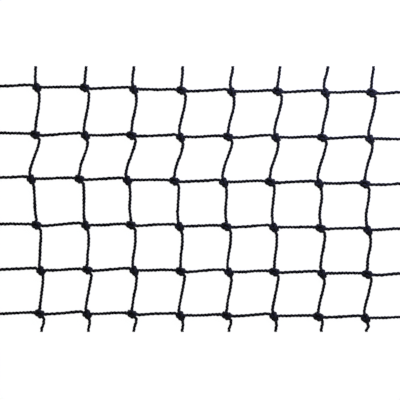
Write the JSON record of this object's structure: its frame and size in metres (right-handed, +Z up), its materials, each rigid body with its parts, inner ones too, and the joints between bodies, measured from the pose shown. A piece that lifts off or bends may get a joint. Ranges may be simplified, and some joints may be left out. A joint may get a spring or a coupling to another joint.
{
  "type": "bird netting",
  "caption": "Cut piece of square-hung knotted bird netting of thin black twine, lying flat, to be joined or fastened over a gap.",
  "frame": {"origin": "middle of the net's length and depth, on the surface it lies on", "axes": "+X along the net's length, +Y up its depth, +Z up from the surface"},
  "size_m": [0.166, 0.109, 0.0025],
  "materials": {
    "black_twine": "black twisted polyethylene twine, faint sheen"
  },
  "bodies": {
    "root": {"net": "black_twine"}
  },
  "joints": []
}
